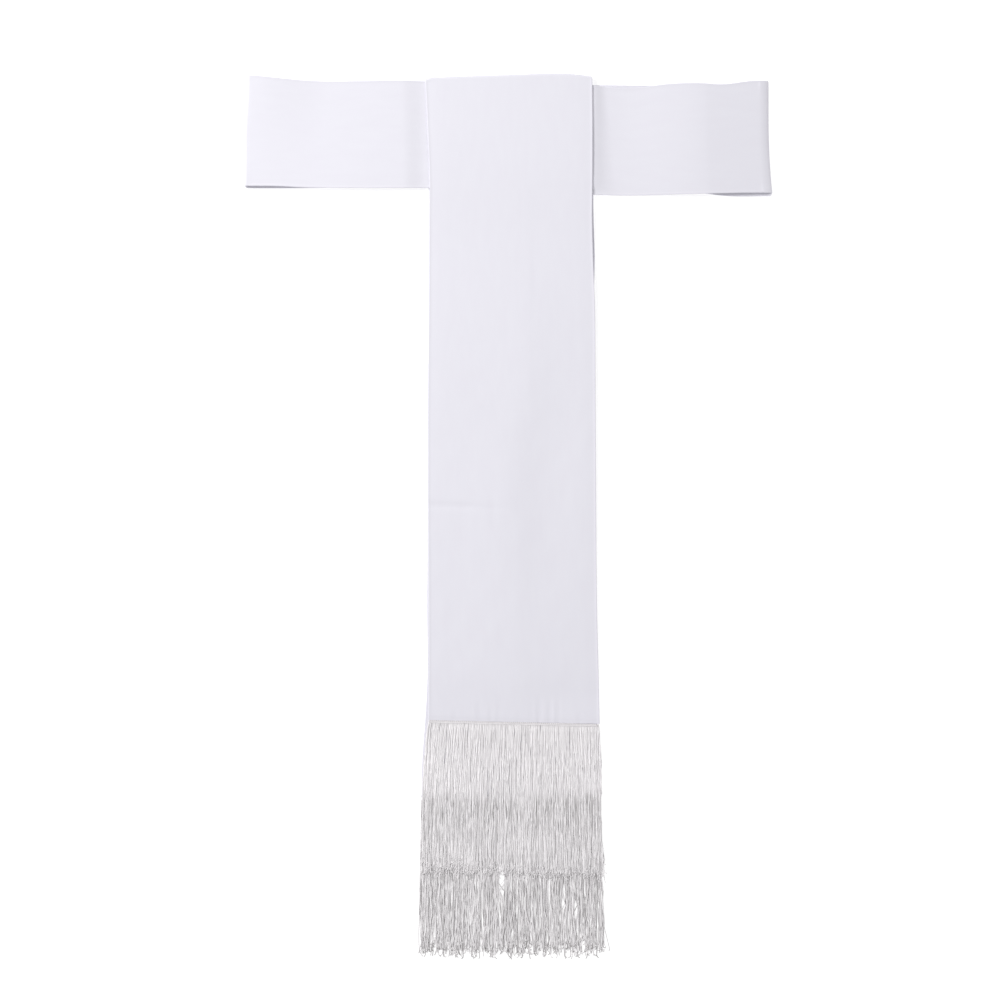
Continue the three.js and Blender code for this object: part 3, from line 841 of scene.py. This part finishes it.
# Tubes round middle lines: rings of points at radius times (cosine, flat times sine) in the plane square
# to each line, thinner over the last few rings. Gives the points, faces and UV places of all at once.
def tubes(paths, radius, flat, tipShare=1.0):
    sides = strandLook["sides"]
    along = np.gradient(paths, axis=1)
    along /= np.linalg.norm(along, axis=2, keepdims=True)
    side = np.cross(along, [0, 0, 1])
    side /= np.linalg.norm(side, axis=2, keepdims=True)
    up = np.cross(side, along) * flat
    angle = ((np.arange(sides) + 0.5) * 2 * np.pi / sides)[None, None, :, None]
    count, rings = paths.shape[:2]
    thinned = 4
    thin = np.ones((rings, 1, 1))
    thin[-thinned:, 0, 0] = np.linspace(1, tipShare, thinned)
    ring = np.cos(angle) * side[:, :, None] + np.sin(angle) * up[:, :, None]
    points = (paths[:, :, None] + radius * thin * ring).reshape(-1, 3)
    steps = np.linalg.norm(np.diff(paths, axis=1), axis=2)
    run = np.concatenate([np.zeros((count, 1)), np.cumsum(steps, axis=1)], axis=1)
    around = np.broadcast_to(radius * angle[..., 0], (count, rings, sides))
    places = np.stack([around, np.broadcast_to(run[:, :, None], around.shape)], axis=3).reshape(-1, 2)
    return points, tubeFaces(count, rings, sides), places


# Gives each point of a piece a number from 0 to 1, how light its yarn is drawn: its random tone with painted
# shade
def setToneAndPaintedShade(piece, shades):
    shadeData = piece.data.attributes.new("yarnToneAndPaintedShade", "FLOAT", "POINT").data
    shadeData.foreach_set("value", shades.astype(np.float32))


# A fringe: layers of strands over each other. Its lightness is the layer's painted shade, less the tip's,
# plus patchy times a chance value that each strand has and another that each place on it has, less the
# fade's painted shade by a strand's own share.
def fringe(name, spec):
    look = strandLook
    chance = np.random.default_rng(spec["seed"])
    paths = [strandPaths(spec, z, spec["seed"] + 1 + i) for i, (z, _) in enumerate(spec["layers"])]
    paths = np.concatenate(paths)
    count, rings = paths.shape[:2]
    # Painted shade: each layer's lightness, lower layers darker as shade deep in the fringe
    light = np.repeat([shade for _, shade in spec["layers"]], spec["strands"])[:, None]
    uneven = chance.normal(0, 1, (count, 1)) + chance.normal(0, 1, (count, rings))
    inHook = softStep(np.arange(rings), look["bends"] - 2, rings - 1)
    tips = chance.uniform(*look["tipShades"], (count, 1)) * inHook
    light = light - spec["tipShade"] * tips + spec["patchy"] * uneven
    # Painted shade: past the back hem the strands are drawn darker, as shade from the deep fringe below them
    if "fade" in spec:
        paintedShadeY = paths[:, :, 1] + chance.normal(0, look["fadeScatter"], (count, 1))
        share = chance.uniform(*look["fadeShares"], (count, 1))
        light = light + curveAt(spec["fade"], "y", "drop", paintedShadeY) * (look["fadePatchy"] * uneven - share)
    points, faces, places = tubes(paths, spec["radius"], spec["flat"], look["tipWidth"])
    piece = addPiece(name, points, faces, yarn, places)
    setToneAndPaintedShade(piece, np.repeat(light.clip(0, 1).ravel(), look["sides"]))
    return piece


# Distances are down from the hem's edge, and heights are from the fringe's root
headerLook = {
    # The tape's shade below 1 is painted shade: it is drawn darker than the loops and cord, as the groove
    # between them
    "tape": {"from": -0.2, "to": 2.4, "low": -0.5, "high": 0.15, "shade": 0.8, "places": 60},
    "loops": {
        "pitch": 1.9,
        "at": 0.25,
        "long": 0.95,
        "short": 0.42,
        "tall": 0.45,
        "slant": 34,
        "up": 0.4,
        "rings": 6,
        "corners": 8,
    },
    "cord": {"radius": 0.42, "flat": 0.6, "at": 1.9, "up": 0.45, "twist": 0.07, "turns": 70, "places": 160},
}


# The fringe's header, in one piece: a woven tape below the hem, a row of slanted loops that sew it on,
# and a cord along its lower edge. A loop is an ellipsoid, turned by the slant: its long, short and
# upright half sizes times (cos a cos b, sin a cos b, sin b).
def header(name, spec):
    tape, loops, cord = headerLook["tape"], headerLook["loops"], headerLook["cord"]
    (leftX, leftY), (rightX, rightY) = spec["hem"]

    # Y at a share of the hem's width and a distance down from it
    def below(share, distance):
        return mix(leftY, rightY, share) - walls["gap"] - distance

    share = np.linspace(0, 1, tape["places"])[:, None]
    down = np.array([tape["from"], tape["to"], tape["to"], tape["from"]])[None, :]
    height = spec["headerZ"] + np.array([tape["high"], tape["high"], tape["low"], tape["low"]])[None, :]
    ring = [mix(leftX, rightX, share) + 0 * down, below(share, down), height + 0 * share]
    tapePoints = np.stack(ring, axis=2).reshape(-1, 3)
    tapeFaces = [face[::-1] for face in tubeFaces(1, tape["places"], 4)]

    count = int((rightX - leftX) / loops["pitch"])
    share = (np.arange(count) + 0.5)[:, None, None] / count
    around = np.linspace(0, 2 * np.pi, loops["corners"] + 1)[:-1][None, None, :]
    nearPole = 1.4  # radians, a little less than a quarter turn
    climb = np.linspace(-nearPole, nearPole, loops["rings"])[None, :, None]
    long = loops["long"] * np.cos(around) * np.cos(climb)
    short = loops["short"] * np.sin(around) * np.cos(climb)
    slant = np.radians(loops["slant"])
    x = mix(leftX, rightX, share) + long * np.cos(slant) - short * np.sin(slant)
    y = below(share, loops["at"]) + long * np.sin(slant) + short * np.cos(slant)
    z = spec["headerZ"] + loops["up"] + loops["tall"] * np.sin(climb) + 0 * x
    loopPoints = np.stack([x, y, z], axis=3).reshape(-1, 3)
    loopFaces = [face[::-1] for face in tubeFaces(count, loops["rings"], loops["corners"])]

    share = np.linspace(0, 1, cord["places"])
    cordY = below(share, cord["at"]) + cord["twist"] * np.sin(2 * np.pi * share * cord["turns"])
    line = [mix(leftX, rightX, share), cordY, 0 * share + spec["headerZ"] + cord["up"]]
    cordPoints, cordFaces, _ = tubes(np.stack(line, axis=1)[None], cord["radius"], cord["flat"])

    points = np.concatenate([tapePoints, loopPoints, cordPoints])
    starts = (0, len(tapePoints), len(tapePoints) + len(loopPoints))
    parts = zip(starts, (tapeFaces, loopFaces, cordFaces))
    faces = [[start + corner for corner in face] for start, part in parts for face in part]
    piece = addPiece(name, points, faces, yarn, points[:, :2])
    # Painted shade: the tape is drawn darker than the loops and cord above it
    setToneAndPaintedShade(piece, np.where(np.arange(len(points)) < len(tapePoints), tape["shade"], 1.0))
    return piece


# Build

bandPiece = waistBand()
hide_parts("waist_band")
fallsPiece = fallsCut()
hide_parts("falls")
print("cloth built")

for name, spec, node in (("front", fringeFront, "fringe_front"), ("back", fringeBack, "fringe_back")):
    strands = fringe(f"strands_{name}", spec)
    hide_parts(node)
    tape = header(f"header_{name}", spec)
print("fringes built")

# Studio

studio = {
    "floor": ("#d6d6d6", "#d9d9d9"),
    "halfFloor": 4,
    "grain": 300.0,
    "glow": 0.6,
    "sky": 0.575,
    "key": 39.5,
    "keyAt": (-1.62, 0.98, 1.78),
    "keyAim": (0, 0.05, 0),
    "keySize": 1.0,
}

# White acrylic of a light table: matt, and lit a little from below, so it stays near white in a shadow
tableSurface = {
    "Roughness": 0.9,
    "Specular IOR Level": 0.1,
    "Emission Color": (1, 1, 1, 1),
    "Emission Strength": studio["glow"],
}
floorMaterial, floorTree, floorShader = startMaterial("white acrylic", tableSurface)
floorPlace = addNode(floorTree, "ShaderNodeTexCoord").outputs["Object"]
grainForm = {"Scale": studio["grain"], "Detail": 2.0}
floorGrain = addNode(floorTree, "ShaderNodeTexNoise", {"Vector": floorPlace, **grainForm})
floorDark, floorLight = (colour(tone) for tone in studio["floor"])
floorTone = addNode(
    floorTree,
    "ShaderNodeMix",
    {"Factor": floorGrain.outputs["Fac"], "A": floorDark, "B": floorLight},
    data_type="RGBA",
)
floorTree.links.new(floorTone.outputs["Result"], floorShader.inputs["Base Color"])
floorMesh = bpy.data.meshes.new("floor")
half = studio["halfFloor"]
floorCorners = [(-half, -half, 0), (half, -half, 0), (half, half, 0), (-half, half, 0)]
floorMesh.from_pydata(floorCorners, [], [(0, 1, 2, 3)])
floorMesh.materials.append(floorMaterial)
floor = bpy.data.objects.new("floor", floorMesh)
bpy.context.collection.objects.link(floor)

key = bpy.data.lights.new("key", "AREA")
key.shape = "DISK"
key.size = studio["keySize"]
key.energy = studio["key"]
keyObject = bpy.data.objects.new("key", key)
keyObject.location = studio["keyAt"]
aim = Vector(studio["keyAim"]) - Vector(studio["keyAt"])
keyObject.rotation_mode = "QUATERNION"
keyObject.rotation_quaternion = aim.to_track_quat("-Z", "Y")
bpy.context.collection.objects.link(keyObject)

world = bpy.data.worlds.new("studio")
world.use_nodes = True
sky = world.node_tree.nodes["Background"]
sky.inputs["Color"].default_value = (1, 1, 1, 1)
sky.inputs["Strength"].default_value = studio["sky"]
bpy.context.scene.world = world
bpy.context.scene.view_settings.view_transform = "Standard"
print("studio built")
